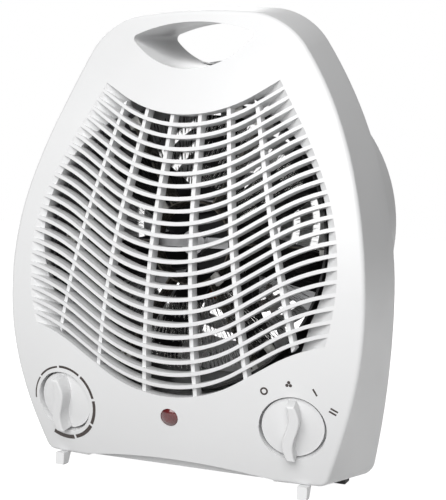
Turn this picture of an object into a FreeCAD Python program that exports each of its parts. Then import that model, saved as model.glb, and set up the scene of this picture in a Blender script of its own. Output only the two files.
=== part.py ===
"""Upright fan heater: two-part housing, wavy front grille, wire heater, axial fan, two knobs.

Millimetres. X to the heater's left as it faces forward (-Y), Z up, floor at Z = 0.
Y = 0 is half way between the belly of the front face and the back of the drum.
"""
import FreeCAD, Part

import math
import os

from FreeCAD import Vector

# ---------------------------------------------------------------- driving dimensions
WIDTH = 215.0
HEIGHT = 276.0
DEPTH = 119.0  # belly of the front face to the back of the drum
FRONT_Y = -DEPTH / 2  # the belly, the foremost point
DRUM_LENGTH = 43.0
PARTING = DEPTH - DRUM_LENGTH  # belly to the plane where the rear cover meets the front shell
WALL = 2.4
FIT_GAP = 0.3  # clearance round parts that move or drop in
OVER = 5.0  # how far cutting tools run past what they cut
TOUCH = 0.05  # tolerance for finding an edge by its place

# Front-view outline of the housing near the face, and at the parting plane. Every value is
# interpolated along the depth, so the side walls open towards the rear.
SIDE_FLARE = 2.0
TOP_FLARE = 16.5
OUTLINE_FRONT_AT = 10.0
OUTLINE_FRONT = {
    "half_width": WIDTH / 2 - SIDE_FLARE, "waist_z": 100.0, "lower_r": 180.0, "upper_r": 258.0,
    "shoulder_r": 45.0, "top_r": 300.0, "top_z": HEIGHT - TOP_FLARE, "base_z": 8.0, "corner_r": 6.0,
}
OUTLINE_REAR = {
    "half_width": WIDTH / 2, "waist_z": 100.0, "lower_r": 560.0, "upper_r": 283.0,
    "shoulder_r": 44.0, "top_r": 300.0, "top_z": HEIGHT, "base_z": 3.5, "corner_r": 9.0,
}
FACE_ROUND = 2.5

# Crowned front face: a side profile of tangent arcs, swept round a vertical axis.
CROWN_APEX_Z = 113.0
CROWN_LOWER_R = 292.0
CROWN_UPPER_R = 245.0
CROWN_LEAN = math.radians(13.0)
CROWN_STRAIGHT = 38.0
CROWN_TOP_R = 160.0
CROWN_SIDE_R = 490.0
CROWN_SWEEP = 50.0  # degrees, more than the housing spans

# Grille: identical wavy louvres at an even pitch, on bars that fan out from one point.
AXIS_Z = 134.0  # fan, heater and mouth
MOUTH_R = WIDTH * 0.3953
LOUVRE_COUNT = 22
LOUVRE_PITCH = 6.8
LOUVRE_FIRST_Z = 55.6  # middle of the lowest louvre
LOUVRE_THICK = 2.1
LOUVRE_DEPTH = 9.0
LOUVRE_SAG_R = 75.0
LOUVRE_SLOPE = math.radians(32.0)
LOUVRE_SLOPE_END = 58.0
LOUVRE_EASE_R = 92.0
GRILLE_LOW_Z = LOUVRE_FIRST_Z - LOUVRE_PITCH
GRILLE_HIGH_Z = LOUVRE_FIRST_Z + LOUVRE_COUNT * LOUVRE_PITCH
SLAB_RIM = 5.0
SLOT_MARGIN = 16.0  # outline of the housing to the tips of the slots
SLOT_RAMP = 13.0  # how far the scooped slot ends run in
SCOOP_LEAN = 4.8  # degrees, follows the face up the shoulders
BAR_COUNT = 6
BAR_FAN_Z = 385.0
BAR_STEP = 0.0914  # sideways step of one bar for each millimetre below the fan point
BAR_WIDTH = 2.2
BAR_SETBACK = 2.0
BAR_DEPTH = 7.0

# Handle: an eye-shaped hole that rises towards the rear.
EYE_HALF_W = WIDTH * 0.1767
EYE_TIP_Z = OUTLINE_FRONT["top_z"] - 11.0
EYE_TOP_RISE = 7.5
EYE_BOTTOM_DROP = 19.5
EYE_TIP_R = 3.0
EYE_AT = 18.0  # depth at which the heights above hold
EYE_CLIMB = 0.19
EYE_PARTING = PARTING - 30.0
EYE_PINCH = 1.2  # how much narrower the hole is at its parting

# Rear cover, drum and intake.
COVER_DEPTH = 4.5
COVER_ROUND = 2.0
DRUM_R = WIDTH * 0.4651
DRUM_Z = 146.0
DRUM_EDGE_R = 9.0
INTAKE_RINGS = 5
INTAKE_FIRST_R = DRUM_R * 0.2
INTAKE_PITCH = DRUM_R * 0.13
INTAKE_SLOT = 5.0
INTAKE_SPOKES = 8
SPOKE_WIDTH = 5.0

# Knobs, their wells, shafts and what they turn.
KNOB_X = WIDTH * 0.3209
KNOB_Z = 38.6
KNOB_R = 16.8
KNOB_SUNK = 2.5  # face of the housing to the knob's disc
KNOB_DISC = 5.0
KNOB_BACK = KNOB_SUNK + KNOB_DISC
KNOB_DOME = 1.2
KNOB_SOCKET = 4.0  # how far the shaft enters the knob
GRIP_HEIGHT = 8.0
GRIP_WIDTH = 6.4
GRIP_TAPER = 0.35  # share of its width that the grip loses towards its ends
GRIP_SWAY = 1.8
GRIP_ROUND = 1.0
GRIP_ROWS = 9
WELL_R = KNOB_R + 1.4
WELL_DEPTH = KNOB_BACK + 1.5
SHAFT_R = 3.0
SHAFT_FIT = 0.05
SHAFT_LENGTH = 20.0
THERMOSTAT_SIZE = (26.0, 14.0, 20.0)
SWITCH_R = 13.0
SWITCH_DEPTH = 17.0

# Printed dial scale and marks, a skin of ink on the face.
INK_THICK = 0.12
INK_LINE = 0.9
SCALE_R = WELL_R + 2.0
SCALE_THIN = 0.5
SCALE_THICK = 2.4
SCALE_DASHES = 7
SCALE_STEP = 43.0
SCALE_GAP = 4.0
SCALE_FROM = 180.0
MARK_R = WELL_R + 6.3
MARK_SIZE = 4.2
SELECTOR_MARKS = (("off", 126.0), ("fan", 93.0), ("low", 60.0), ("high", 28.0))
FAN_MARK_BLADES = 3

# Indicator lamp.
LAMP_Z = 38.0
LAMP_R = 5.2
LAMP_PROUD = 1.4
LAMP_BODY = 9.0
LAMP_BALL_R = LAMP_R * 1.6
NEON_R = 2.0
NEON_LENGTH = 10.0
NEON_HOLDER = 6.0
NEON_HOLDER_R = LAMP_R - 1.2

# Feet and the arch between the front ones.
FOOT_X = KNOB_X + 5.0
FOOT_Y = 20.5
FOOT_WIDTH = 5.6
FOOT_DEPTH = 9.0
FOOT_SOLE = 0.6  # share of the wedge's depth that meets the floor
REAR_FOOT_X = KNOB_X + 13.0
REAR_FOOT_SIZE = 10.0
ARCH_HALF_W = 57.0
ARCH_RISE = 5.2
ARCH_DEPTH = 30.0

# Heater, from the mouth back.
DUCT_R = MOUTH_R - 3.0
DUCT_WALL = 1.2
DUCT_BORE = DUCT_R - DUCT_WALL
DUCT_BACK = 90.0
HEATER_FROM = 29.0
HEATER_DEPTH = 16.0
RING_RADII = (DUCT_R * 0.463, DUCT_R * 0.634, DUCT_R * 0.817)
RING_BAND = 9.0
WIRE_THICK = 1.2
MICA_THICK = 0.8
MICA_COUNT = 6
MICA_INNER_R = 24.0
MICA_OUTER_R = DUCT_R - 3.0
SADDLE = 7.0
SADDLE_GRIP = 4.0
SADDLE_SETBACK = 2.0
CUTOUT_R = 7.0
CUTOUT_DEPTH = 6.0
STRAP_WIDTH = 6.0
STRAP_THICK = 1.0
FUSE_R = 1.8
FUSE_LENGTH = 14.0

# Fan and motor, on one shaft.
FAN_FROM = 60.0
FAN_DEPTH = 20.0
FAN_R = DUCT_BORE - 4.8
FAN_HUB_R = 17.0
HUB_NOSE = 4.0
BLADE_COUNT = 7
BLADE_PITCH = math.radians(38.0)
BLADE_THICK = 1.4
BLADE_SHARE = 0.98  # of the fan's depth
MOTOR_FROM = 88.0
MOTOR_SIZE = 44.0
MOTOR_STACK = 14.0
CORE_ABOVE = MOTOR_SIZE * 0.4
CORE_BELOW = MOTOR_SIZE * 0.75
CORE_LIMB = 9.0
COIL_PROUD = 3.0
COIL_GAP = 1.0
ROTOR_R = 11.0
MOTOR_SHAFT_R = 1.6
SHAFT_TAIL = 9.0
BEARING_R = 6.0
BRACKET_GAP = 3.0
BRACKET_THICK = 3.0
BRACKET_FROM = MOTOR_FROM - BRACKET_GAP - BRACKET_THICK
BRACKET_ARMS = 3
ARM_WIDTH = 11.0
COVER_STANDOFF = 4.0

# Wiring and fasteners.
TERMINAL_WIDTH = 24.0
TERMINAL_DEPTH = 14.0
TERMINAL_WAYS = 2
TERMINAL_Z = 18.0
CORD_R = 3.3
GLAND_R = CORD_R + 2.7
GLAND_X = -48.0
GLAND_Z = 22.0
GLAND_INSIDE = 4.0
GLAND_FLANGE = 3.0
POST_R = 3.6
SCREW_R = 1.5
SCREW_LENGTH = 14.0
SCREW_HEAD_R = 3.0
SCREW_HEAD = 2.0
SCREW_SLOT = 0.8
SCREW_PLACES = (
    (WIDTH / 2 - 19.5, 28.0), (WIDTH / 2 - 12.5, 78.0), (WIDTH / 2 - 41.5, HEIGHT - 44.0),
)


# ---------------------------------------------------------------- small helpers
def at(x, y, z):
    """A point whose y is measured back from the belly."""
    return Vector(x, FRONT_Y + y, z)


def box(x0, x1, y0, y1, z0, z1):
    """Block between two depths measured back from the belly."""
    return Part.makeBox(x1 - x0, y1 - y0, z1 - z0, at(x0, y0, z0))


def cylinder(radius, x, z, y0, y1):
    """Round bar along Y between two depths measured back from the belly."""
    return Part.makeCylinder(radius, y1 - y0, at(x, y0, z), Vector(0, 1, 0))


def local_bar(radius, y0, y1):
    """Round bar along Y about the origin, for pieces that on_face() puts in place."""
    return Part.makeCylinder(radius, y1 - y0, Vector(0, y0, 0), Vector(0, 1, 0))


def turned(shape, degrees, z):
    """The shape turned about the axis along Y at height z."""
    copy = shape.copy()
    copy.rotate(at(0, 0, z), Vector(0, 1, 0), degrees)
    return copy


def edges_at(shape, y):
    """Edges whose middle lies at depth y in the shape's own frame."""
    return [edge for edge in shape.Edges if abs(edge.CenterOfMass.y - y) < TOUCH]


def tube(outer, inner, x, z, y0, y1):
    return cylinder(outer, x, z, y0, y1).cut(cylinder(inner, x, z, y0 - OVER, y1 + OVER))


def arc(a, m, b):
    return Part.Arc(a, m, b).toShape()


def line(a, b):
    return Part.makeLine(a, b)


def prism(wire, length):
    return Part.Face(wire).extrude(Vector(0, length, 0))


def fused(shapes):
    shapes = list(shapes)
    if len(shapes) == 1:
        return shapes[0]
    return shapes[0].multiFuse(shapes[1:]).removeSplitter()


def on_circle(centre, radius, angle):
    return (centre[0] + radius * math.cos(angle), centre[1] + radius * math.sin(angle))


# ---------------------------------------------------------------- housing outline
def outline_values(y):
    share = (y - OUTLINE_FRONT_AT) / (PARTING - OUTLINE_FRONT_AT)
    return {
        name: value + (OUTLINE_REAR[name] - value) * share
        for name, value in OUTLINE_FRONT.items()
    }


def shoulder_centre(v):
    """Centre of the shoulder arc, tangent inside both the upper side arc and the top arc."""
    side = (v["half_width"] - v["upper_r"], v["waist_z"])
    top = (0.0, v["top_z"] - v["top_r"])
    from_side = v["upper_r"] - v["shoulder_r"]
    from_top = v["top_r"] - v["shoulder_r"]
    dx = top[0] - side[0]
    dz = top[1] - side[1]
    gap = math.hypot(dx, dz)
    along = (from_side ** 2 - from_top ** 2 + gap ** 2) / (2 * gap)
    across = math.sqrt(from_side ** 2 - along ** 2)
    x = side[0] + (along * dx - across * dz) / gap
    z = side[1] + (along * dz + across * dx) / gap
    return side, top, (x, z)


def half_outline(v, inset, y, rounded):
    """Right half of the outline as (start, middle, end) arcs from the base to the top."""
    side, top, shoulder = shoulder_centre(v)
    lower = (v["half_width"] - v["lower_r"], v["waist_z"])
    corner_r = v["corner_r"] if rounded else inset
    corner_z = v["base_z"] + corner_r
    reach = v["lower_r"] - corner_r
    corner_x = lower[0] + math.sqrt(reach ** 2 - (corner_z - lower[1]) ** 2)
    low_angle = math.atan2(corner_z - lower[1], corner_x - lower[0])
    side_angle = math.atan2(shoulder[1] - side[1], shoulder[0] - side[0])
    top_angle = math.atan2(shoulder[1] - top[1], shoulder[0] - top[0])
    pieces = [
        (lower, v["lower_r"], low_angle, 0.0),
        (side, v["upper_r"], 0.0, side_angle),
        (shoulder, v["shoulder_r"], side_angle, top_angle),
        (top, v["top_r"], top_angle, math.pi / 2),
    ]
    if rounded:
        pieces.insert(0, ((corner_x, corner_z), corner_r, -math.pi / 2, low_angle))
    arcs = []
    for centre, radius, start, end in pieces:
        points = []
        for angle in (start, (start + end) / 2, end):
            x, z = on_circle(centre, radius - inset, angle)
            points.append(at(x, y, z))
        arcs.append(points)
    return arcs


def mirrored(p):
    return Vector(-p.x, p.y, p.z)


def outline(y, inset=0.0, place=None, rounded=True):
    """Closed outline of the housing for depth y, drawn at depth `place`."""
    arcs = half_outline(outline_values(y), inset, y if place is None else place, rounded)
    edges = [arc(*points) for points in arcs]
    edges += [arc(*[mirrored(p) for p in reversed(points)]) for points in reversed(arcs)]
    edges.append(line(mirrored(arcs[0][0]), arcs[0][0]))
    return Part.Wire(edges)


def housing_solid(inset=0.0, beyond=0.0):
    """Solid of the housing's outline from ahead of the face to the parting plane."""
    front = outline(OUTLINE_FRONT_AT, inset)
    rear = outline(PARTING, inset)
    ahead = prism(outline(OUTLINE_FRONT_AT, inset, -OVER), OUTLINE_FRONT_AT + OVER)
    solids = [ahead, Part.makeLoft([front, rear], True, True)]
    if beyond:
        solids.append(prism(rear, beyond))
    return fused(solids)


# ---------------------------------------------------------------- crowned front
def crown_profile(shift):
    """Side profile of the front face, from below the floor to above the top."""
    bottom_z = -2 * OVER
    top_z = OUTLINE_REAR["top_z"] + 4 * OVER
    apex = (0.0, CROWN_APEX_Z)
    drop = apex[1] - bottom_z

    def lower(dz):
        return CROWN_LOWER_R - math.sqrt(CROWN_LOWER_R ** 2 - dz ** 2)

    def upper(angle):
        return (CROWN_UPPER_R * (1 - math.cos(angle)), CROWN_APEX_Z + CROWN_UPPER_R * math.sin(angle))

    lean_start = upper(CROWN_LEAN)
    lean_end = (
        lean_start[0] + CROWN_STRAIGHT * math.sin(CROWN_LEAN),
        lean_start[1] + CROWN_STRAIGHT * math.cos(CROWN_LEAN),
    )

    def ease(angle):
        back = CROWN_TOP_R * (math.cos(angle) - math.cos(CROWN_LEAN))
        rise = CROWN_TOP_R * (math.sin(CROWN_LEAN) - math.sin(angle))
        return (lean_end[0] + back, lean_end[1] + rise)

    def point(p):
        return at(0, p[0] + shift, p[1])

    upright = ease(0.0)
    edges = [
        arc(point((lower(drop), bottom_z)), point((lower(drop / 2), apex[1] - drop / 2)), point(apex)),
        arc(point(apex), point(upper(CROWN_LEAN / 2)), point(lean_start)),
        line(point(lean_start), point(lean_end)),
        arc(point(lean_end), point(ease(CROWN_LEAN / 2)), point(upright)),
        line(point(upright), point((upright[0], top_z))),
    ]
    return edges, lower(drop), bottom_z, upright[0], top_z


def crown(shift=0.0):
    """Everything behind the crowned front face, moved back by `shift`."""
    edges, low_y, low_z, high_y, high_z = crown_profile(shift)
    edges.append(line(at(0, high_y + shift, high_z), at(0, CROWN_SIDE_R, high_z)))
    edges.append(line(at(0, CROWN_SIDE_R, high_z), at(0, CROWN_SIDE_R, low_z)))
    edges.append(line(at(0, CROWN_SIDE_R, low_z), at(0, low_y + shift, low_z)))
    face = Part.Face(Part.Wire(edges))
    face.rotate(at(0, CROWN_SIDE_R, 0), Vector(0, 0, 1), -CROWN_SWEEP / 2)
    return face.revolve(at(0, CROWN_SIDE_R, 0), Vector(0, 0, 1), CROWN_SWEEP)


def crown_side(z):
    """Depth and slope of the front face's side profile at height z, below its straight part."""
    radius = CROWN_LOWER_R if z < CROWN_APEX_Z else CROWN_UPPER_R
    rise = z - CROWN_APEX_Z
    flat = math.sqrt(radius ** 2 - rise ** 2)
    return radius - flat, rise / flat


def face_depth(x, z):
    depth, _ = crown_side(z)
    return CROWN_SIDE_R - math.sqrt((CROWN_SIDE_R - depth) ** 2 - x ** 2)


def face_placement(x, z):
    """Moves a piece drawn at the origin, with its axis along Y, onto the front face."""
    depth, slope = crown_side(z)
    reach = math.sqrt((CROWN_SIDE_R - depth) ** 2 - x ** 2)
    normal = Vector(x / reach, -1, slope * (CROWN_SIDE_R - depth) / reach)
    return FreeCAD.Placement(at(x, face_depth(x, z), z), FreeCAD.Rotation(Vector(0, -1, 0), normal))


def on_face(shape, x, z):
    placed = shape.copy()
    placed.Placement = face_placement(x, z).multiply(shape.Placement)
    return placed


# ---------------------------------------------------------------- grille
def louvre_half(z_mid, y):
    """Right half of a louvre's middle line: sag, straight flank, then easing out flat."""
    sag_x = LOUVRE_SAG_R * math.sin(LOUVRE_SLOPE)
    sag_z = LOUVRE_SAG_R * (1 - math.cos(LOUVRE_SLOPE))
    flank_z = sag_z + (LOUVRE_SLOPE_END - sag_x) * math.tan(LOUVRE_SLOPE)
    half = LOUVRE_SLOPE / 2

    def ease(angle):
        x = LOUVRE_SLOPE_END + LOUVRE_EASE_R * (math.sin(LOUVRE_SLOPE) - math.sin(angle))
        z = flank_z + LOUVRE_EASE_R * (math.cos(angle) - math.cos(LOUVRE_SLOPE))
        return at(x, y, z_mid + z)

    middle = at(LOUVRE_SAG_R * math.sin(half), y, z_mid + LOUVRE_SAG_R * (1 - math.cos(half)))
    sag_end = at(sag_x, y, z_mid + sag_z)
    return [
        (at(0, y, z_mid), middle, sag_end),
        (sag_end, None, at(LOUVRE_SLOPE_END, y, z_mid + flank_z)),
        (ease(LOUVRE_SLOPE), ease(half), ease(0.0)),
    ]


def wave_edges(z_mid, y, side):
    edges = []
    for start, middle, end in louvre_half(z_mid, y):
        points = [start, end] if middle is None else [start, middle, end]
        if side < 0:
            points = [mirrored(p) for p in points]
        edges.append(line(*points) if middle is None else arc(*points))
    return edges


def wave_band(z_low, z_high, y0, length):
    """Prism between two copies of the louvre line."""
    edges = []
    ends = {}
    for z in (z_low, z_high):
        for side in (1, -1):
            edges += wave_edges(z, y0, side)
            tip = louvre_half(z, y0)[-1][-1]
            ends[(z, side)] = tip if side > 0 else mirrored(tip)
    for side in (1, -1):
        edges.append(line(ends[(z_low, side)], ends[(z_high, side)]))
    return prism(Part.Wire(Part.__sortEdges__(edges)), length)


def slot(index):
    """Gap below louvre `index`; the last one lies above the top louvre."""
    z = LOUVRE_FIRST_Z + (index - 1) * LOUVRE_PITCH + LOUVRE_THICK / 2
    return wave_band(z, z + LOUVRE_PITCH - LOUVRE_THICK, -OVER, PARTING)


def scoop():
    """Tapered well that gives the slots their ramped ends; it leans with the side arcs."""
    waist_z = OUTLINE_FRONT["waist_z"]
    face_y = face_depth(OUTLINE_FRONT["half_width"] - SLOT_MARGIN, waist_z)
    wide = outline(OUTLINE_FRONT_AT, SLOT_MARGIN - SLOT_RAMP, face_y - LOUVRE_DEPTH, False)
    tight = outline(OUTLINE_FRONT_AT, SLOT_MARGIN + 2 * SLOT_RAMP, face_y + 2 * LOUVRE_DEPTH, False)
    well = Part.makeLoft([wide, tight], True, True)
    well.rotate(at(0, face_y, waist_z), Vector(1, 0, 0), -SCOOP_LEAN)
    return well


def bars():
    made = []
    low = GRILLE_LOW_Z - 2 * OVER
    high = GRILLE_HIGH_Z + 2 * LOUVRE_SAG_R
    for index in range(BAR_COUNT):
        slope = (index - (BAR_COUNT - 1) / 2) * BAR_STEP
        corners = []
        for z, shift in ((low, -1), (low, 1), (high, 1), (high, -1)):
            x = slope * (BAR_FAN_Z - z) + shift * BAR_WIDTH / 2
            corners.append(at(x, -OVER, z))
        made.append(prism(Part.makePolygon(corners + corners[:1]), PARTING))
    return made


# ---------------------------------------------------------------- handle hole
def eye(y, inset):
    """Eye-shaped section of the handle hole at depth y."""
    lift = (y - EYE_AT) * EYE_CLIMB
    tip_z = EYE_TIP_Z + lift
    top_r = (EYE_HALF_W ** 2 + EYE_TOP_RISE ** 2) / (2 * EYE_TOP_RISE)
    low_r = (EYE_HALF_W ** 2 + EYE_BOTTOM_DROP ** 2) / (2 * EYE_BOTTOM_DROP)
    top_c = (0.0, tip_z + EYE_TOP_RISE - top_r)
    low_c = (0.0, tip_z - EYE_BOTTOM_DROP + low_r)
    reach_top = top_r - EYE_TIP_R
    reach_low = low_r - EYE_TIP_R
    gap = low_c[1] - top_c[1]
    up = (reach_top ** 2 - reach_low ** 2 + gap ** 2) / (2 * gap)
    tip_c = (math.sqrt(reach_top ** 2 - up ** 2), top_c[1] + up)
    top_angle = math.atan2(tip_c[1] - top_c[1], tip_c[0] - top_c[0])
    low_angle = math.atan2(tip_c[1] - low_c[1], tip_c[0] - low_c[0])

    def point(centre, radius, angle):
        x, z = on_circle(centre, radius - inset, angle)
        return at(x, y, z)

    top_arc = [point(top_c, top_r, a) for a in (top_angle, math.pi / 2, math.pi - top_angle)]
    low_arc = [point(low_c, low_r, a) for a in (-math.pi - low_angle, -math.pi / 2, low_angle)]
    tip = [point(tip_c, EYE_TIP_R, a) for a in (low_angle, (low_angle + top_angle) / 2, top_angle)]
    left = [mirrored(p) for p in reversed(tip)]
    return Part.Wire([arc(*low_arc), arc(*tip), arc(*top_arc), arc(*left)])


def eye_loft(y0, inset0, y1, inset1):
    return Part.makeLoft([eye(y0, inset0), eye(y1, inset1)], True, True)


# ---------------------------------------------------------------- shells
def grille_slab():
    """The thick zone of the face that the louvres are cut from."""
    field = prism(outline(OUTLINE_FRONT_AT, SLOT_MARGIN - SLAB_RIM, -OVER, False), PARTING)
    field = field.common(wave_band(GRILLE_LOW_Z - SLAB_RIM, GRILLE_HIGH_Z + SLAB_RIM, -OVER, PARTING))
    return field.common(crown(0.0).cut(crown(LOUVRE_DEPTH + WALL)))


def grille_cuts():
    relief = scoop().fuse(cylinder(MOUTH_R, 0, AXIS_Z, -OVER, PARTING))
    return [slot(index).common(relief) for index in range(LOUVRE_COUNT + 1)]


def grille_bars():
    layer = crown(BAR_SETBACK).cut(crown(BAR_SETBACK + BAR_DEPTH))
    layer = layer.common(cylinder(MOUTH_R + WALL, 0, AXIS_Z, -OVER, PARTING))
    layer = layer.common(wave_band(GRILLE_LOW_Z - WALL, GRILLE_HIGH_Z + WALL, -OVER, PARTING))
    return [bar.common(layer) for bar in bars()]


def screw_places():
    return [(side * x, z) for x, z in SCREW_PLACES for side in (1, -1)]


def well_cup(extra):
    """Blind well for a knob, drawn at the origin; `extra` thickens it into its wall."""
    return local_bar(WELL_R + extra, -OVER, WELL_DEPTH + extra)


def shaft_hole(radius):
    return local_bar(radius, -OVER, PARTING)


def arch(extra=0.0):
    """Shallow arch under the front shell's bottom edge; `extra` makes room for its roof."""
    radius = (ARCH_HALF_W ** 2 + ARCH_RISE ** 2) / (2 * ARCH_RISE)
    crest_z = OUTLINE_FRONT["base_z"] + ARCH_RISE
    reach = ARCH_HALF_W + extra
    barrel = cylinder(radius + extra, 0, crest_z - radius, -OVER, ARCH_DEPTH + extra)
    return barrel.common(box(-reach, reach, -OVER, ARCH_DEPTH + extra, -OVER, crest_z + OVER))


def middle_normal_y(face):
    u0, u1, v0, v1 = face.ParameterRange
    return face.normalAt((u0 + u1) / 2, (v0 + v1) / 2).y


def front_edges(body):
    """Edges where the crowned face, which looks forward, meets the side walls."""
    found = []
    for face in body.Faces:
        if middle_normal_y(face) < -math.cos(math.pi / 5):
            for edge in face.Edges:
                sharers = body.ancestorsOfType(edge, Part.Face)
                if max(middle_normal_y(sharer) for sharer in sharers) > -math.cos(math.pi / 3):
                    found.append(edge)
    return found


def front_shell():
    body = housing_solid().common(crown(0.0))
    body = body.makeFillet(FACE_ROUND, front_edges(body)).cut(arch())
    cavity = housing_solid(WALL, OVER).common(crown(WALL)).cut(arch(WALL))
    eye_wall = eye_loft(-OVER, -WALL, EYE_PARTING, EYE_PINCH - WALL).common(body)
    posts = [
        cylinder(POST_R, x, z, 0, PARTING).common(body)
        for x, z in screw_places()
    ]
    cups = [
        on_face(well_cup(WALL), side * KNOB_X, KNOB_Z).common(body)
        for side in (1, -1)
    ]
    shell = body.cut(cavity).multiFuse([grille_slab().common(body), eye_wall] + posts + cups)
    cuts = grille_cuts()
    cuts.append(cylinder(MOUTH_R, 0, AXIS_Z, -OVER, PARTING).common(crown(LOUVRE_DEPTH)))
    cuts.append(eye_loft(-OVER, 0, EYE_PARTING + OVER, EYE_PINCH))
    cuts += [on_face(well_cup(0), side * KNOB_X, KNOB_Z) for side in (1, -1)]
    cuts += [on_face(shaft_hole(SHAFT_R + SHAFT_FIT), side * KNOB_X, KNOB_Z) for side in (1, -1)]
    cuts.append(on_face(shaft_hole(LAMP_R), 0, LAMP_Z))
    cuts += [
        cylinder(SCREW_R, x, z, PARTING - SCREW_LENGTH, PARTING + OVER)
        for x, z in screw_places()
    ]
    shell = shell.cut(cuts)
    return shell.multiFuse(grille_bars()).removeSplitter()


def drum(radius, y0, y1, edge_r):
    """Round drum behind the cover, its rear edge rounded."""
    solid = cylinder(radius, 0, DRUM_Z, y0, y1)
    return solid.makeFillet(edge_r, edges_at(solid, FRONT_Y + y1))


def rear_shell():
    """Shallow cover with the drum, half of the handle's wall, screw bosses and the gland's seat."""
    back = PARTING + COVER_DEPTH
    plate = prism(outline(PARTING), COVER_DEPTH)
    plate = plate.makeFillet(COVER_ROUND, edges_at(plate, FRONT_Y + back))
    recess = prism(outline(PARTING, WALL), COVER_DEPTH - WALL)
    bosses = [cylinder(POST_R, x, z, PARTING, back) for x, z in screw_places()]
    eye_wall = eye_loft(EYE_PARTING, EYE_PINCH - WALL, back, -WALL)
    gland_seat = cylinder(GLAND_R + WALL, GLAND_X, GLAND_Z, PARTING, back)
    outer = drum(DRUM_R, PARTING, DEPTH, DRUM_EDGE_R)
    shell = plate.cut(recess).multiFuse([outer, eye_wall, gland_seat] + bosses)
    cuts = [drum(DRUM_R - WALL, PARTING - OVER, DEPTH - WALL, DRUM_EDGE_R - WALL)]
    cuts.append(eye_loft(EYE_PARTING - OVER, EYE_PINCH, back + OVER, 0))
    cuts += [cylinder(SCREW_R, x, z, PARTING - OVER, DEPTH) for x, z in screw_places()]
    cuts.append(cylinder(GLAND_R, GLAND_X, GLAND_Z, PARTING - OVER, DEPTH))
    return shell.cut(cuts + intake_slots()).removeSplitter()


def intake_slots():
    """Rings of air slots in the back of the drum, kept apart by spokes."""
    spokes = []
    half = SPOKE_WIDTH / 2
    spoke = box(-half, half, DEPTH - 2 * OVER, DEPTH + OVER, DRUM_Z, DRUM_Z + DRUM_R)
    for index in range(INTAKE_SPOKES):
        spokes.append(turned(spoke, (index + 0.5) * 360.0 / INTAKE_SPOKES, DRUM_Z))
    slots = []
    for index in range(INTAKE_RINGS):
        inner = INTAKE_FIRST_R + index * INTAKE_PITCH
        ring = tube(inner + INTAKE_SLOT, inner, 0, DRUM_Z, DEPTH - WALL - OVER, DEPTH + OVER)
        slots.append(ring.cut(spokes))
    return slots


def front_foot(side):
    """Wedge-shaped foot under the front shell's corner; its top follows the shell."""
    x0 = side * FOOT_X - FOOT_WIDTH / 2
    top = OUTLINE_FRONT["base_z"]
    corners = [
        at(x0, FOOT_Y, 0), at(x0, FOOT_Y, top),
        at(x0, FOOT_Y + FOOT_DEPTH, top), at(x0, FOOT_Y + FOOT_DEPTH * FOOT_SOLE, 0),
    ]
    wedge = Part.Face(Part.makePolygon(corners + corners[:1])).extrude(Vector(FOOT_WIDTH, 0, 0))
    return wedge.cut(housing_solid())


def rear_foot(side):
    x = side * REAR_FOOT_X
    half = REAR_FOOT_SIZE / 2
    back = PARTING - WALL
    block = box(x - half, x + half, back - REAR_FOOT_SIZE, back, 0, OUTLINE_FRONT["base_z"])
    return block.cut(housing_solid())


# ---------------------------------------------------------------- controls
def grip_outline(y):
    """S-shaped plan of a knob's grip, drawn about the origin."""
    reach = KNOB_R - GRIP_ROUND
    right = []
    left = []
    for row in range(GRIP_ROWS):
        share = 2.0 * row / (GRIP_ROWS - 1) - 1
        middle = GRIP_SWAY * math.sin(math.pi * share)
        half = GRIP_WIDTH / 2 * (1 - GRIP_TAPER * share ** 2)
        right.append(Vector(middle + half, y, share * reach))
        left.append(Vector(middle - half, y, share * reach))
    sides = []
    for points in (right, left):
        curve = Part.BSplineCurve()
        curve.interpolate(points)
        sides.append(curve.toShape())
    return Part.Wire([sides[0], line(right[-1], left[-1]), sides[1], line(left[0], right[0])])


def knob():
    """Domed disc with an upright S-shaped grip and a round socket, drawn at the origin."""
    crest = KNOB_SUNK - KNOB_DOME
    ball_r = (KNOB_R ** 2 + KNOB_DOME ** 2) / (2 * KNOB_DOME)
    disc = local_bar(KNOB_R, crest, KNOB_BACK).common(Part.makeSphere(ball_r, Vector(0, crest + ball_r, 0)))
    grip_top = crest - GRIP_HEIGHT
    grip = Part.Face(grip_outline(grip_top)).extrude(Vector(0, KNOB_BACK - grip_top, 0))
    grip = grip.makeFillet(GRIP_ROUND, edges_at(grip, grip_top))
    whole = disc.fuse(grip.common(local_bar(KNOB_R, grip_top, KNOB_BACK)))
    return whole.cut(local_bar(SHAFT_R, KNOB_BACK - KNOB_SOCKET, KNOB_BACK)).removeSplitter()


def shaft():
    start = KNOB_BACK - KNOB_SOCKET
    return local_bar(SHAFT_R, start, start + SHAFT_LENGTH)


def behind_well():
    """Depth of the back of a well's floor, where a control's body seats."""
    return WELL_DEPTH + WALL


def shaft_bore():
    return local_bar(SHAFT_R + SHAFT_FIT, 0, KNOB_BACK - KNOB_SOCKET + SHAFT_LENGTH + FIT_GAP)


def thermostat_body():
    width, deep, height = THERMOSTAT_SIZE
    block = Part.makeBox(width, deep, height, Vector(-width / 2, behind_well(), -height / 2))
    return block.cut(shaft_bore())


def switch_body():
    return local_bar(SWITCH_R, behind_well(), behind_well() + SWITCH_DEPTH).cut(shaft_bore())


def lamp_lens():
    """Domed lens on a hollow barrel, drawn at the origin."""
    barrel = local_bar(LAMP_R - SHAFT_FIT, -LAMP_PROUD, LAMP_BODY)
    dome = Part.makeSphere(LAMP_BALL_R, Vector(0, LAMP_BALL_R - LAMP_PROUD, 0))
    barrel = barrel.common(dome.fuse(local_bar(LAMP_R, LAMP_PROUD, LAMP_BODY)))
    return barrel.cut(local_bar(NEON_R + FIT_GAP, LAMP_PROUD, LAMP_BODY))


def neon_lamp():
    start = LAMP_PROUD + FIT_GAP
    glass = local_bar(NEON_R, start, start + NEON_LENGTH)
    return glass.fuse(local_bar(NEON_HOLDER_R, LAMP_BODY, LAMP_BODY + NEON_HOLDER))


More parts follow.
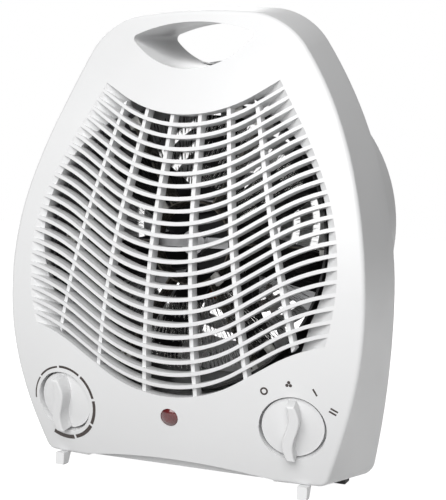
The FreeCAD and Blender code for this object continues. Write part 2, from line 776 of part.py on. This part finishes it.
def dial_scale():
    """Wedge-shaped dial scale in separate dashes, thin at cold and thick at hot."""
    ring = []
    for index in range(SCALE_DASHES):
        start = SCALE_FROM - index * SCALE_STEP
        sweep = SCALE_STEP - SCALE_GAP
        inner = SCALE_R
        outer = SCALE_R + SCALE_THIN + (SCALE_THICK - SCALE_THIN) * (index + 1) / SCALE_DASHES
        ring.append(sector(inner, outer, start - sweep, start, -KNOB_X, KNOB_Z))
    return printed(ring)


def sector(inner, outer, start, end, x, z):
    def rim(radius, angle):
        px, pz = on_circle((x, z), radius, math.radians(angle))
        return at(px, -OVER, pz)

    middle = (start + end) / 2
    wire = Part.Wire([
        arc(rim(inner, start), rim(inner, middle), rim(inner, end)),
        line(rim(inner, end), rim(outer, end)),
        arc(rim(outer, end), rim(outer, middle), rim(outer, start)),
        line(rim(outer, start), rim(inner, start)),
    ])
    return prism(wire, PARTING)


def printed(prisms):
    """A skin of ink on the front face: the prisms cut down to a thin crowned layer."""
    layer = crown(-INK_THICK).cut(crown(0.0))
    return Part.makeCompound([shape.common(layer) for shape in prisms])


def selector_marks():
    """Off ring, fan, low bar and high double bar round the selector."""
    marks = []
    for name, angle in SELECTOR_MARKS:
        x, z = on_circle((KNOB_X, KNOB_Z), MARK_R, math.radians(angle))
        if name == "off":
            marks.append(tube(MARK_SIZE / 2, MARK_SIZE / 2 - INK_LINE, x, z, -OVER, PARTING / 2))
        elif name == "fan":
            for blade in range(FAN_MARK_BLADES):
                turn = math.pi / 2 + 2 * math.pi * blade / FAN_MARK_BLADES
                bx, bz = on_circle((x, z), MARK_SIZE / 4, turn)
                marks.append(cylinder(MARK_SIZE / 5, bx, bz, -OVER, PARTING / 2))
        else:
            half = INK_LINE / 2
            reach = MARK_SIZE / 2
            for shift in ([0.0] if name == "low" else [-INK_LINE, INK_LINE]):
                middle = x + shift
                bar = box(middle - half, middle + half, -OVER, PARTING / 2, z - reach, z + reach)
                bar.rotate(at(x, 0, z), Vector(0, 1, 0), angle - 90)
                marks.append(bar)
    return printed(marks)


# ---------------------------------------------------------------- heater
def duct():
    ring = tube(DUCT_R, DUCT_BORE, 0, AXIS_Z, 0, DUCT_BACK)
    return ring.common(crown(LOUVRE_DEPTH + WALL))


def ring_band(radius, y0):
    half = WIRE_THICK / 2
    return tube(radius + half, radius - half, 0, AXIS_Z, y0, HEATER_FROM + RING_BAND)


def mica_angle(index):
    return 360.0 * (index + 0.5) / MICA_COUNT


def mica_frame():
    """Radial mica boards on a short mica tube, notched for the heating bands."""
    half = MICA_THICK / 2
    back = HEATER_FROM + HEATER_DEPTH
    hub = tube(MICA_INNER_R, MICA_INNER_R - MICA_THICK, 0, AXIS_Z, HEATER_FROM, back)
    board = box(-half, half, HEATER_FROM, back, AXIS_Z + MICA_INNER_R - half, AXIS_Z + MICA_OUTER_R)
    boards = [turned(board, mica_angle(index), AXIS_Z) for index in range(MICA_COUNT)]
    return fused([hub] + boards).cut([ring_band(radius, HEATER_FROM - OVER) for radius in RING_RADII])


def ceramic_supports():
    """Ceramic saddles that hold the ends of the mica boards off the duct."""
    half = SADDLE / 2
    slit = MICA_THICK / 2
    front = HEATER_FROM + SADDLE_SETBACK
    back = HEATER_FROM + HEATER_DEPTH - SADDLE_SETBACK
    block = box(-half, half, front, back, AXIS_Z + MICA_OUTER_R - SADDLE_GRIP, AXIS_Z + DUCT_R)
    block = block.cut(box(-slit, slit, 0, PARTING, AXIS_Z, AXIS_Z + MICA_OUTER_R))
    block = block.common(cylinder(DUCT_BORE, 0, AXIS_Z, 0, PARTING))
    return Part.makeCompound([turned(block, mica_angle(index), AXIS_Z) for index in range(MICA_COUNT)])


def thermal_cutout():
    """Bimetal cut-out on a strap across the mica tube."""
    y0 = HEATER_FROM + RING_BAND
    half = STRAP_WIDTH / 2
    disc = cylinder(CUTOUT_R, 0, AXIS_Z, y0 + STRAP_THICK - CUTOUT_DEPTH, y0 + STRAP_THICK)
    strap = box(-MICA_INNER_R, MICA_INNER_R, y0, y0 + STRAP_THICK, AXIS_Z - half, AXIS_Z + half)
    return disc.fuse(strap).common(cylinder(MICA_INNER_R - MICA_THICK, 0, AXIS_Z, 0, PARTING))


def thermal_fuse():
    y0 = HEATER_FROM + HEATER_DEPTH + FUSE_R
    start = at(-FUSE_LENGTH / 2, y0, AXIS_Z + MICA_INNER_R - MICA_THICK / 2)
    return Part.makeCylinder(FUSE_R, FUSE_LENGTH, start, Vector(1, 0, 0))


# ---------------------------------------------------------------- fan and motor
def impeller():
    """Hub with pitched blades, pressed on the motor shaft."""
    back = FAN_FROM + FAN_DEPTH
    chord = FAN_DEPTH / math.sin(BLADE_PITCH) * BLADE_SHARE
    blade = Part.makeBox(chord, BLADE_THICK, FAN_R, Vector(-chord / 2, -BLADE_THICK / 2, 0))
    blade.rotate(Vector(0, 0, 0), Vector(0, 0, 1), math.degrees(BLADE_PITCH))
    blade.translate(at(0, (FAN_FROM + back) / 2, AXIS_Z))
    blade = blade.common(cylinder(FAN_R, 0, AXIS_Z, FAN_FROM, back))
    blades = [turned(blade, index * 360.0 / BLADE_COUNT, AXIS_Z) for index in range(BLADE_COUNT)]
    fan = cylinder(FAN_HUB_R, 0, AXIS_Z, FAN_FROM, back).multiFuse(blades)
    return fan.cut(motor_bore()).removeSplitter()


def motor_bore():
    return cylinder(MOTOR_SHAFT_R, 0, AXIS_Z, FAN_FROM + HUB_NOSE, DEPTH)


def motor_shaft():
    tail = MOTOR_FROM + MOTOR_STACK + SHAFT_TAIL
    return cylinder(MOTOR_SHAFT_R, 0, AXIS_Z, FAN_FROM + HUB_NOSE, tail)


def motor_rotor():
    rotor = cylinder(ROTOR_R, 0, AXIS_Z, MOTOR_FROM, MOTOR_FROM + MOTOR_STACK)
    return rotor.cut(motor_bore())


def motor_core():
    """Laminated C-frame of the shaded-pole motor, with a window for its coil."""
    half = MOTOR_SIZE / 2
    inner = half - CORE_LIMB
    low = AXIS_Z - CORE_BELOW
    back = MOTOR_FROM + MOTOR_STACK
    block = box(-half, half, MOTOR_FROM, back, low, AXIS_Z + CORE_ABOVE)
    bore = cylinder(ROTOR_R + FIT_GAP, 0, AXIS_Z, MOTOR_FROM - OVER, DEPTH)
    window_top = AXIS_Z - ROTOR_R - CORE_LIMB / 2
    return block.cut([bore, box(-inner, inner, MOTOR_FROM - OVER, DEPTH, low + CORE_LIMB, window_top)])


def motor_coil():
    """Winding round the core's lower limb."""
    reach = MOTOR_SIZE / 2 - CORE_LIMB - COIL_GAP
    low = AXIS_Z - CORE_BELOW
    high = low + CORE_LIMB
    back = MOTOR_FROM + MOTOR_STACK
    outer = box(-reach, reach, MOTOR_FROM - COIL_PROUD, back + COIL_PROUD, low - COIL_PROUD, high + COIL_PROUD)
    return outer.cut(box(-MOTOR_SIZE, MOTOR_SIZE, MOTOR_FROM, back, low, high))


def motor_bracket():
    """Plate with arms between the duct and the motor; its hub carries the front bearing."""
    back = BRACKET_FROM + BRACKET_THICK
    half = ARM_WIDTH / 2
    arm = box(-half, half, BRACKET_FROM, back, AXIS_Z, AXIS_Z + DUCT_R)
    arm = arm.common(cylinder(DUCT_BORE, 0, AXIS_Z, 0, DEPTH))
    arms = [turned(arm, index * 360.0 / BRACKET_ARMS, AXIS_Z) for index in range(BRACKET_ARMS)]
    plate = cylinder(BEARING_R + WALL, 0, AXIS_Z, BRACKET_FROM, back).multiFuse(arms)
    return plate.cut(cylinder(BEARING_R, 0, AXIS_Z, 0, DEPTH)).removeSplitter()


def bearing(y0):
    return tube(BEARING_R, MOTOR_SHAFT_R + SHAFT_FIT, 0, AXIS_Z, y0, y0 + BRACKET_THICK)


def motor_cover():
    """Rear bearing plate, standing off the core on two legs."""
    half = MOTOR_SIZE / 2
    tall = BEARING_R + WALL
    y0 = MOTOR_FROM + MOTOR_STACK
    y1 = y0 + COVER_STANDOFF
    plate = box(-half, half, y1, y1 + BRACKET_THICK, AXIS_Z - tall, AXIS_Z + tall)
    legs = [
        box(-half, 2 * WALL - half, y0, y1, AXIS_Z - tall, AXIS_Z + tall),
        box(half - 2 * WALL, half, y0, y1, AXIS_Z - tall, AXIS_Z + tall),
    ]
    return plate.multiFuse(legs).cut(cylinder(BEARING_R, 0, AXIS_Z, 0, DEPTH)).removeSplitter()


# ---------------------------------------------------------------- wiring and fasteners
def terminal_block():
    pitch = TERMINAL_WIDTH / TERMINAL_WAYS
    half = TERMINAL_WIDTH / 2
    back = PARTING + COVER_DEPTH - WALL
    block = box(-half, half, back - TERMINAL_DEPTH, back, TERMINAL_Z - pitch / 2, TERMINAL_Z + pitch / 2)
    holes = []
    for way in range(TERMINAL_WAYS):
        holes.append(cylinder(CORD_R / 2, (way + 0.5) * pitch - half, TERMINAL_Z, 0, back - 2 * WALL))
    return block.cut(holes)


def cord_gland():
    """Bush in the rear cover for the mains cord."""
    back = PARTING + COVER_DEPTH
    barrel = cylinder(GLAND_R - SHAFT_FIT, GLAND_X, GLAND_Z, PARTING - GLAND_INSIDE, back)
    flange = cylinder(GLAND_R + WALL, GLAND_X, GLAND_Z, back, back + GLAND_FLANGE)
    return barrel.fuse(flange).cut(cylinder(CORD_R, GLAND_X, GLAND_Z, 0, DEPTH))


def case_screws():
    """Screws that hold the rear cover to the front shell's posts."""
    made = []
    head_y = PARTING + COVER_DEPTH
    reach = SCREW_HEAD_R
    half = SCREW_SLOT / 2
    for x, z in screw_places():
        shank = cylinder(SCREW_R, x, z, head_y - SCREW_LENGTH, head_y)
        head = cylinder(SCREW_HEAD_R, x, z, head_y, head_y + SCREW_HEAD)
        groove = box(x - reach, x + reach, head_y + SCREW_HEAD / 2, head_y + OVER, z - half, z + half)
        made.append(shank.fuse(head.cut(groove)))
    return Part.makeCompound(made)


# ---------------------------------------------------------------- write every node
def save(name, shape):
    shape.exportStep("parts/%s.step" % name)


def main():
    os.makedirs("parts", exist_ok=True)
    save("front_shell", front_shell())
    save("rear_shell", rear_shell())
    for side, word in ((1, "right"), (-1, "left")):
        save("front_foot_" + word, front_foot(side))
        save("rear_foot_" + word, rear_foot(side))
    for name, side in (("thermostat", -1), ("selector", 1)):
        x = side * KNOB_X
        save(name + "_knob", on_face(knob(), x, KNOB_Z))
        save(name + "_shaft", on_face(shaft(), x, KNOB_Z))
    save("thermostat_body", on_face(thermostat_body(), -KNOB_X, KNOB_Z))
    save("selector_switch", on_face(switch_body(), KNOB_X, KNOB_Z))
    save("lamp_lens", on_face(lamp_lens(), 0, LAMP_Z))
    save("neon_lamp", on_face(neon_lamp(), 0, LAMP_Z))
    save("dial_scale", dial_scale())
    save("selector_marks", selector_marks())
    save("air_duct", duct())
    save("mica_frame", mica_frame())
    for name, radius in zip(("inner", "middle", "outer"), RING_RADII):
        save("heating_wire_" + name, ring_band(radius, HEATER_FROM))
    save("ceramic_supports", ceramic_supports())
    save("thermal_cutout", thermal_cutout())
    save("thermal_fuse", thermal_fuse())
    save("impeller", impeller())
    save("motor_shaft", motor_shaft())
    save("motor_rotor", motor_rotor())
    save("motor_core", motor_core())
    save("motor_coil", motor_coil())
    save("motor_bracket", motor_bracket())
    save("bearing_front", bearing(BRACKET_FROM))
    save("bearing_rear", bearing(MOTOR_FROM + MOTOR_STACK + COVER_STANDOFF))
    save("motor_cover", motor_cover())
    save("terminal_block", terminal_block())
    save("cord_gland", cord_gland())
    save("case_screws", case_screws())


main()
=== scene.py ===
"""Blender scene of the upright fan heater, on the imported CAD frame."""
import math
import random

import bmesh
import bpy
from mathutils import Matrix, Vector

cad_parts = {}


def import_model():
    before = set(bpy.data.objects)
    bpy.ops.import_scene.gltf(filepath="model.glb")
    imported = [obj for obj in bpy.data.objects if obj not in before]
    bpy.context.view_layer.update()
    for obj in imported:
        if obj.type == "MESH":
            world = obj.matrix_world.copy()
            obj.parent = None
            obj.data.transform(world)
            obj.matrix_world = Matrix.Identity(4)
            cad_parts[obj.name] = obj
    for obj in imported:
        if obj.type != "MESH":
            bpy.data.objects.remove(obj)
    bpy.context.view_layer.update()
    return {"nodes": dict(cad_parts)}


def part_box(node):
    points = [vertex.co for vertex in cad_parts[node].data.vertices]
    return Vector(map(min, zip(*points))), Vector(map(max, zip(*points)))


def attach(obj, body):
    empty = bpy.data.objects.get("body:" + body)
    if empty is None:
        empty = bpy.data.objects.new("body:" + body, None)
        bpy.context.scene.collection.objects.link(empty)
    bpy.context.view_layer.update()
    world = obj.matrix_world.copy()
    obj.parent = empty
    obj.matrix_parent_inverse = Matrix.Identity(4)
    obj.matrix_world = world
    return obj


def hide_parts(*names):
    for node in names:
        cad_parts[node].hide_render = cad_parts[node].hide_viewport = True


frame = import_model()
nodes = frame["nodes"]
MM = 0.001

# ------------------------------------------------------------------ sizes taken from the frame
ring_low, ring_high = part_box("heating_wire_middle")
AXIS_Z = (ring_low.z + ring_high.z) / 2
HEATER_FRONT = ring_low.y
HEATER_BACK = ring_high.y


# ------------------------------------------------------------------ node helpers
class Nodes:
    """Small builder for one material's node tree."""

    def __init__(self, name):
        self.material = bpy.data.materials.new(name)
        self.material.use_nodes = True
        self.tree = self.material.node_tree
        self.shader = self.tree.nodes["Principled BSDF"]
        self.coords = self.add("ShaderNodeTexCoord").outputs["Object"]

    def add(self, kind, **values):
        node = self.tree.nodes.new(kind)
        for key, value in values.items():
            if key in node.inputs:
                node.inputs[key].default_value = value
            else:
                setattr(node, key, value)
        return node

    def join(self, source, target):
        self.tree.links.new(source, target)

    def noise(self, scale, detail=3.0, rough=0.55, stretch=None):
        node = self.add("ShaderNodeTexNoise", Scale=scale, Detail=detail, Roughness=rough)
        vector = self.coords
        if stretch:
            mapping = self.add("ShaderNodeMapping")
            mapping.inputs["Scale"].default_value = stretch
            self.join(vector, mapping.inputs["Vector"])
            vector = mapping.outputs["Vector"]
        self.join(vector, node.inputs["Vector"])
        return node.outputs["Fac"]

    def ramp(self, fac, stops):
        node = self.add("ShaderNodeValToRGB")
        node.color_ramp.elements[0].position = stops[0][0]
        node.color_ramp.elements[0].color = (*stops[0][1], 1)
        node.color_ramp.elements[1].position = stops[-1][0]
        node.color_ramp.elements[1].color = (*stops[-1][1], 1)
        for place, colour in stops[1:-1]:
            node.color_ramp.elements.new(place).color = (*colour, 1)
        self.join(fac, node.inputs["Fac"])
        return node.outputs["Color"]

    def span(self, fac, low, high):
        node = self.add("ShaderNodeMapRange")
        node.inputs["From Min"].default_value = 0.25
        node.inputs["From Max"].default_value = 0.75
        node.inputs["To Min"].default_value = low
        node.inputs["To Max"].default_value = high
        self.join(fac, node.inputs["Value"])
        return node.outputs["Result"]

    def colour(self, output):
        self.join(output, self.shader.inputs["Base Color"])

    def rough(self, output):
        self.join(output, self.shader.inputs["Roughness"])

    def bump(self, height, depth_mm, strength=1.0):
        node = self.add("ShaderNodeBump", Strength=strength, Distance=depth_mm * MM)
        self.join(height, node.inputs["Height"])
        self.join(node.outputs["Normal"], self.shader.inputs["Normal"])

    def flat(self, **values):
        for key, value in values.items():
            self.shader.inputs[key.replace("_", " ")].default_value = value


def moulded(name, light, dark, low=0.36, high=0.46, grain=1400.0, depth=0.01, specular=0.45):
    """Moulded plastic: faint mottle, a fine spark-eroded grain and uneven gloss."""
    made = Nodes(name)
    made.colour(made.ramp(made.noise(14.0, 4.0), [(0.3, dark), (0.7, light)]))
    made.rough(made.span(made.noise(55.0, 5.0), low, high))
    made.bump(made.noise(grain, 2.0), depth)
    made.flat(Specular_IOR_Level=specular)
    return made.material


def metal(name, light, dark, low, high, stretch=None, scale=90.0, depth=0.01):
    made = Nodes(name)
    grain = made.noise(scale, 5.0, 0.6, stretch)
    made.colour(made.ramp(grain, [(0.3, dark), (0.7, light)]))
    made.rough(made.span(grain, low, high))
    made.bump(grain, depth)
    made.flat(Metallic=1.0)
    return made.material


def red_lens():
    made = Nodes("red_lens")
    deep, lit = (0.075, 0.002, 0.003), (0.13, 0.004, 0.006)
    made.colour(made.ramp(made.noise(260.0, 3.0), [(0.3, deep), (0.75, lit)]))
    made.rough(made.span(made.noise(400.0, 2.0), 0.1, 0.2))
    made.bump(made.noise(900.0, 2.0), 0.01)
    made.flat(Specular_IOR_Level=0.6, Coat_Weight=0.3, Coat_Roughness=0.08)
    return made.material


def ink():
    made = Nodes("dark_ink")
    dense, thin = (0.017, 0.010, 0.008), (0.030, 0.019, 0.015)
    made.colour(made.ramp(made.noise(420.0, 4.0), [(0.3, dense), (0.8, thin)]))
    made.rough(made.span(made.noise(900.0, 3.0), 0.5, 0.65))
    made.bump(made.noise(2600.0, 2.0), 0.008)
    return made.material


def mica():
    """Pressed mica board: dull flakes with a few that shine."""
    made = Nodes("mica")
    flakes = made.add("ShaderNodeTexVoronoi", Scale=420.0)
    made.join(made.coords, flakes.inputs["Vector"])
    shade = made.ramp(flakes.outputs["Distance"], [(0.0, (0.16, 0.14, 0.11)), (0.9, (0.055, 0.05, 0.042))])
    made.colour(shade)
    made.rough(made.span(flakes.outputs["Distance"], 0.35, 0.7))
    made.bump(flakes.outputs["Distance"], 0.02)
    return made.material


def winding():
    """Enamelled copper wire, laid in even turns."""
    made = Nodes("copper")
    turns = made.add("ShaderNodeTexWave", Scale=700.0, Distortion=0.6, bands_direction="Z")
    made.join(made.coords, turns.inputs["Vector"])
    made.colour(made.ramp(turns.outputs["Fac"], [(0.1, (0.12, 0.03, 0.012)), (0.8, (0.50, 0.17, 0.07))]))
    made.rough(made.span(made.noise(300.0), 0.28, 0.42))
    made.bump(turns.outputs["Fac"], 0.08)
    made.flat(Metallic=0.8, Coat_Weight=0.5)
    return made.material


def laminations():
    made = Nodes("steel_laminations")
    sheets = made.add("ShaderNodeTexWave", Scale=320.0, bands_direction="Y")
    made.join(made.coords, sheets.inputs["Vector"])
    made.colour(made.ramp(sheets.outputs["Fac"], [(0.1, (0.12, 0.12, 0.125)), (0.7, (0.34, 0.34, 0.35))]))
    made.rough(made.span(made.noise(160.0), 0.35, 0.55))
    made.bump(sheets.outputs["Fac"], 0.06)
    made.flat(Metallic=1.0)
    return made.material


white = moulded("white_plastic", (0.785, 0.787, 0.790), (0.765, 0.767, 0.770))
knob_white = moulded("knob_white", (0.78, 0.782, 0.785), (0.755, 0.757, 0.76), 0.3, 0.4, 1800.0, 0.006)
black = moulded("dark_plastic", (0.018, 0.018, 0.019), (0.010, 0.010, 0.011), 0.4, 0.55)
duct_grey = moulded("duct_plastic", (0.05, 0.05, 0.052), (0.03, 0.03, 0.031), 0.45, 0.6)
rubber = moulded("black_rubber", (0.03, 0.03, 0.03), (0.018, 0.018, 0.018), 0.7, 0.85, 900.0, 0.03)
natural = moulded("natural_plastic", (0.74, 0.73, 0.68), (0.66, 0.65, 0.6), 0.3, 0.45)
steel = metal("steel", (0.6, 0.6, 0.61), (0.42, 0.42, 0.43), 0.28, 0.45, (1, 9, 1))
turned_steel = metal("turned_steel", (0.66, 0.66, 0.67), (0.5, 0.5, 0.51), 0.18, 0.3, (1, 14, 1), 200.0)
bright_wire = metal("resistance_wire", (0.95, 0.94, 0.92), (0.78, 0.77, 0.75), 0.16, 0.3, None, 700.0)
# Dark copy of the resistance wire: painted shade for the sectors where the wire catches no glint.
shaded_wire_paint = metal("wire_painted_shade", (0.085, 0.08, 0.078), (0.035, 0.033, 0.032), 0.45, 0.6, None, 700.0)
bronze = metal("bronze", (0.55, 0.38, 0.2), (0.36, 0.24, 0.12), 0.35, 0.5, None, 900.0, 0.02)
ceramic = moulded("ceramic", (0.86, 0.85, 0.82), (0.78, 0.77, 0.73), 0.3, 0.5, 700.0, 0.03)
glass = moulded("neon_glass", (0.75, 0.35, 0.25), (0.6, 0.22, 0.15), 0.05, 0.12, 500.0, 0.004)

MATERIALS = {
    white: ("front_shell", "rear_shell", "front_foot_right", "front_foot_left"),
    knob_white: ("thermostat_knob", "selector_knob"),
    black: ("thermostat_body", "selector_switch", "cord_gland", "impeller"),
    duct_grey: ("air_duct",),
    rubber: ("rear_foot_right", "rear_foot_left"),
    natural: ("terminal_block",),
    steel: ("thermal_cutout", "thermal_fuse", "motor_bracket", "motor_cover", "case_screws"),
    turned_steel: ("thermostat_shaft", "selector_shaft", "motor_shaft", "motor_rotor"),
    laminations(): ("motor_core",),
    winding(): ("motor_coil",),
    mica(): ("mica_frame",),
    bronze: ("bearing_front", "bearing_rear"),
    ceramic: ("ceramic_supports",),
    red_lens(): ("lamp_lens",),
    glass: ("neon_lamp",),
    ink(): ("dial_scale", "selector_marks"),
}
for material, names in MATERIALS.items():
    for name in names:
        nodes[name].data.materials.clear()
        nodes[name].data.materials.append(material)


# ------------------------------------------------------------------ piece helpers
def link(obj):
    bpy.context.scene.collection.objects.link(obj)
    return obj


def wire(name, points, radius, material, cyclic=False, smooth=False):
    """A round wire through the points, in metres."""
    curve = bpy.data.curves.new(name, "CURVE")
    curve.dimensions = "3D"
    curve.bevel_depth = radius
    curve.bevel_resolution = 2
    curve.use_fill_caps = True
    spline = curve.splines.new("NURBS" if smooth else "POLY")
    spline.points.add(len(points) - 1)
    for target, point in zip(spline.points, points):
        target.co = (*point, 1)
    spline.use_cyclic_u = cyclic
    if smooth:
        spline.order_u = 4
        spline.use_endpoint_u = not cyclic
    curve.materials.append(material)
    return link(bpy.data.objects.new(name, curve))


def polar(radius, degrees, y):
    """A point round the fan's axis; 0 is towards +X and 90 is up."""
    angle = math.radians(degrees)
    return Vector((radius * math.cos(angle), y, AXIS_Z + radius * math.sin(angle)))


# ------------------------------------------------------------------ heating wires
ZIGZAG_PITCH = 2.3 * MM
ZIGZAG_REACH = 5.4 * MM
ZIGZAG_WIRE = 0.32 * MM
ZIGZAG_TILT = 0.9 * MM  # each strand runs from front to back by this much either way
STRAND_LEAN = 0.18  # share of a step by which a strand leans along the ring
STRAND_SLIP = 0.22  # share of a step by which a strand is out of its even place
STRAND_SHAKE = 0.5 * MM
LAYER_DEPTHS = (0.25, 0.8)  # shares of the heater's depth
RING_NODES = ("heating_wire_inner", "heating_wire_middle", "heating_wire_outer")


# Name, first and last degree round the fan's axis, and the wire's material there: the bright wire where it
# glints, and its dark copy as painted shade where it catches no glint.
STRETCHES = (
    ("upper_right", 28.0, 92.0, bright_wire),
    ("lower", -112.0, -45.0, bright_wire),
    ("right", -45.0, 28.0, shaded_wire_paint),
    ("left", 92.0, 248.0, shaded_wire_paint),
)


def zigzag(name, radius, y, start, stop, material, chance):
    """Corrugated resistance wire laid in an arc: strands run in and out between two radii."""
    steps = int(math.radians(stop - start) * radius / ZIGZAG_PITCH)
    turn = (stop - start) / steps
    points = []
    for step in range(steps):
        angle = start + turn * (step + chance.uniform(-STRAND_SLIP, STRAND_SLIP))
        for side in (-1, 1):
            reach = radius + side * ZIGZAG_REACH * chance.uniform(0.86, 1.08)
            depth = y + side * ZIGZAG_TILT + chance.uniform(-STRAND_SHAKE, STRAND_SHAKE)
            points.append(polar(reach, angle + STRAND_LEAN * side * turn, depth))
    return wire(name, points, ZIGZAG_WIRE, material)


for order, node in enumerate(RING_NODES):
    low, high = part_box(node)
    radius = (high.x - low.x) / 2
    chance = random.Random(order)
    for layer, share in enumerate(LAYER_DEPTHS):
        depth = HEATER_FRONT + (HEATER_BACK - HEATER_FRONT) * share
        for place, start, stop, material in STRETCHES:
            name = "%s_%s_%d" % (node, place, layer)
            coil = zigzag(name, radius, depth, start, stop, material, chance)
            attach(coil, "housing")
    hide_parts(node)


# ------------------------------------------------------------------ ceramic insulators
def bevelled_block(name, centre, size, turn, bevel, material):
    """Small block with rounded edges, turned about the fan's axis."""
    mesh = bpy.data.meshes.new(name)
    shape = bmesh.new()
    bmesh.ops.create_cube(shape, size=1.0)
    bmesh.ops.scale(shape, vec=size, verts=shape.verts)
    bmesh.ops.bevel(shape, geom=shape.edges[:], offset=bevel, segments=3, affect="EDGES")
    shape.transform(Matrix.Translation(centre) @ Matrix.Rotation(turn, 4, "Y"))
    shape.to_mesh(mesh)
    shape.free()
    for face in mesh.polygons:
        face.use_smooth = True
    mesh.materials.append(material)
    return link(bpy.data.objects.new(name, mesh))


INSULATOR_SIZE = Vector((7.0, 3.2, 5.0)) * MM
INSULATOR_EDGE = 0.5 * MM
INSULATOR_PROUD = 0.8 * MM  # centre of an insulator ahead of the heater's front
# Millimetres from the fan's axis and degrees round it.
INSULATORS = ((78.0, 71.0), (26.5, -48.0), (74.0, -48.0), (26.5, 131.0), (74.0, 131.0), (74.0, -131.0))
for count, (radius, degrees) in enumerate(INSULATORS):
    place = polar(radius * MM, degrees, HEATER_FRONT - INSULATOR_PROUD)
    name = "ceramic_insulator_%d" % count
    turn = -math.radians(degrees)
    bead = bevelled_block(name, place, INSULATOR_SIZE, turn, INSULATOR_EDGE, ceramic)
    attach(bead, "housing")


# ------------------------------------------------------------------ internal leads
def insulation(name, light, dark):
    return moulded(name, light, dark, 0.4, 0.55, 700.0, 0.02)


LEAD_COLOURS = {
    "brown": insulation("lead_brown", (0.12, 0.05, 0.025), (0.08, 0.03, 0.015)),
    "blue": insulation("lead_blue", (0.03, 0.08, 0.3), (0.02, 0.05, 0.2)),
    "white": insulation("lead_white", (0.7, 0.7, 0.68), (0.6, 0.6, 0.58)),
}
LEAD_R = 1.0 * MM
# Routes in millimetres from the motor and the lamp to the switches.
LEADS = (
    ("lead_live", "brown", ((6, 8, 18), (20, 4, 16), (44, -6, 20), (60, -14, 30), (66, -20, 34))),
    ("lead_neutral", "blue", ((-6, 8, 18), (-22, 4, 16), (-44, -4, 18), (-58, -14, 26), (-66, -22, 31))),
    ("lead_lamp", "white", ((0, -32, 38), (4, -22, 30), (22, -16, 22), (44, -18, 26), (58, -20, 32))),
)
for name, colour, route in LEADS:
    lead = wire(name, [Vector(point) * MM for point in route], LEAD_R, LEAD_COLOURS[colour], smooth=True)
    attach(lead, "housing")


# ------------------------------------------------------------------ floor, light and camera
FLOOR_REACH = 12.0
FLOOR_GLOW = 0.85
AMBIENT = 0.25
AIM = (0.0, 0.0, 0.14)
# Direction from the aim point, distance, width, height and irradiance.
KEY_LIGHT = ((0.12, -0.9, 0.42), 1.7, 1.3, 1.1, 1.07)
BACK_LIGHT = ((-0.5, 0.7, 0.5), 1.8, 1.0, 1.0, 0.28)
SENSOR = 36.0
LENS = 69.34
CAMERA_PLACE = (0.2139, -0.5296, 0.1467)
CAMERA_FORWARD = (-0.3617, 0.9318, -0.0299)
CAMERA_RIGHT = (0.931, 0.3627, 0.0413)


def floor():
    mesh = bpy.data.meshes.new("floor")
    shape = bmesh.new()
    bmesh.ops.create_grid(shape, x_segments=8, y_segments=8, size=FLOOR_REACH)
    shape.to_mesh(mesh)
    shape.free()
    made = Nodes("floor_paint")
    made.colour(made.ramp(made.noise(3.0), [(0.3, (0.86, 0.86, 0.86)), (0.7, (0.88, 0.88, 0.88))]))
    made.rough(made.span(made.noise(30.0), 0.8, 0.9))
    made.flat(Emission_Color=(1, 1, 1, 1), Emission_Strength=FLOOR_GLOW, Specular_IOR_Level=0.1)
    mesh.materials.append(made.material)
    plane = link(bpy.data.objects.new("floor", mesh))
    plane.visible_diffuse = False


def soft_box(name, direction, distance, width, height, irradiance, target):
    """Rectangular area light that gives about `irradiance` (times pi) on a surface facing it."""
    light = bpy.data.lights.new(name, "AREA")
    light.shape = "RECTANGLE"
    light.size = width
    light.size_y = height
    light.energy = irradiance * math.pi ** 2 * distance ** 2
    lamp = link(bpy.data.objects.new(name, light))
    aim = Vector(direction).normalized()
    lamp.location = Vector(target) + aim * distance
    lamp.rotation_euler = aim.to_track_quat("Z", "Y").to_euler()
    return lamp


def world(level):
    made = bpy.data.worlds.new("studio")
    made.use_nodes = True
    tree = made.node_tree
    tree.nodes.clear()
    ray = tree.nodes.new("ShaderNodeLightPath")
    ambient = tree.nodes.new("ShaderNodeBackground")
    ambient.inputs["Color"].default_value = (1, 1, 1, 1)
    ambient.inputs["Strength"].default_value = level
    seen = tree.nodes.new("ShaderNodeBackground")
    seen.inputs["Color"].default_value = (1, 1, 1, 1)
    mix = tree.nodes.new("ShaderNodeMixShader")
    out = tree.nodes.new("ShaderNodeOutputWorld")
    tree.links.new(ray.outputs["Is Camera Ray"], mix.inputs[0])
    tree.links.new(ambient.outputs[0], mix.inputs[1])
    tree.links.new(seen.outputs[0], mix.inputs[2])
    tree.links.new(mix.outputs[0], out.inputs["Surface"])
    bpy.context.scene.world = made


floor()
world(AMBIENT)
soft_box("key", *KEY_LIGHT, AIM)
soft_box("back", *BACK_LIGHT, AIM)

camera = link(bpy.data.objects.new("camera", bpy.data.cameras.new("camera")))
camera.data.sensor_width = SENSOR
camera.data.lens = LENS
forward = Vector(CAMERA_FORWARD).normalized()
right = Vector(CAMERA_RIGHT)
right = (right - right.dot(forward) * forward).normalized()
up = right.cross(forward)
turn = Matrix((right, up, -forward)).transposed().to_4x4()
camera.matrix_world = Matrix.Translation(CAMERA_PLACE) @ turn
bpy.context.scene.camera = camera

settings = bpy.context.scene.view_settings
settings.view_transform = "Standard"
settings.look = "None"
